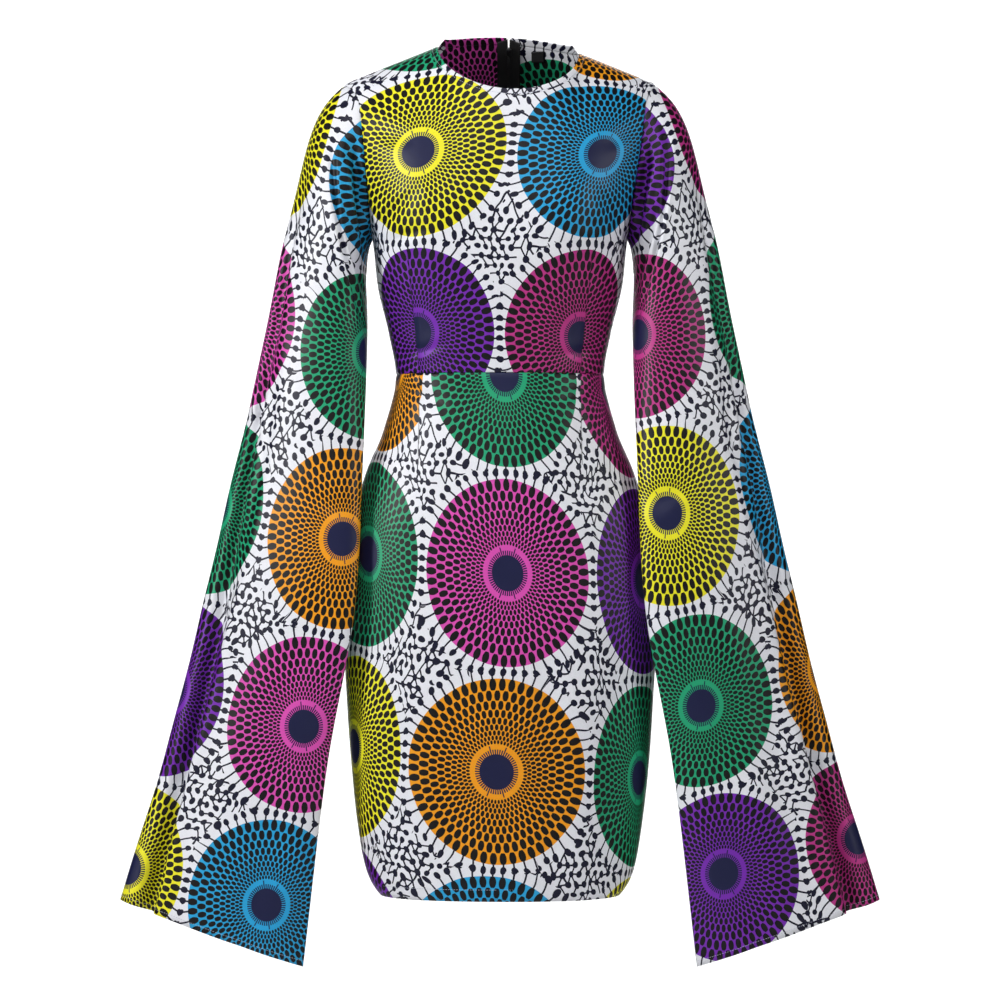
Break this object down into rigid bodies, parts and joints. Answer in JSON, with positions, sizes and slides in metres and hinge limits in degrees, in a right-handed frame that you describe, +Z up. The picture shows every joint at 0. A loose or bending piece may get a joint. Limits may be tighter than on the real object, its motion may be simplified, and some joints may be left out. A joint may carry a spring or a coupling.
{
  "type": "ankara wax print dress",
  "caption": "Knee-length fitted dress in disc-patterned wax print cotton, round neck, very long flared sleeves, filled out as worn, with a concealed back zip.",
  "frame": {"origin": "midway between the side neck points, on the shoulder line, where the wearer's shoulders carry the dress", "axes": "+Z up along the body, -Y out of the front, +X towards the wearer's left"},
  "size_m": [0.908, 0.233, 1.1135],
  "materials": {
    "wax_print_cotton": "smooth printed cotton with a slight wax sheen",
    "zip_tape": "black woven polyester tape",
    "zip_coil": "black nylon coil",
    "zip_metal": "black lacquered zinc",
    "woven_tag": "dark woven ribbon, bare"
  },
  "bodies": {
    "dress": {"bodice_front": "wax_print_cotton", "bodice_back_left": "wax_print_cotton", "bodice_back_right": "wax_print_cotton", "skirt_front": "wax_print_cotton", "skirt_back_left": "wax_print_cotton", "skirt_back_right": "wax_print_cotton", "sleeve_left": "wax_print_cotton", "sleeve_right": "wax_print_cotton", "zip_tape_left": "zip_tape", "zip_tape_right": "zip_tape", "zip_coil": "zip_coil", "zip_slider": "zip_metal", "size_tag": "woven_tag"},
    "pull_tab": {"zip_pull_tab": "zip_metal"}
  },
  "joints": [
    {"name": "pull_tab_swing", "type": "hinge", "parent": "dress", "child": "pull_tab", "pos_m": [0.0105, 0.05604, 0.00762], "axis": [1, 0, 0], "range_deg": [0, 150]}
  ]
}
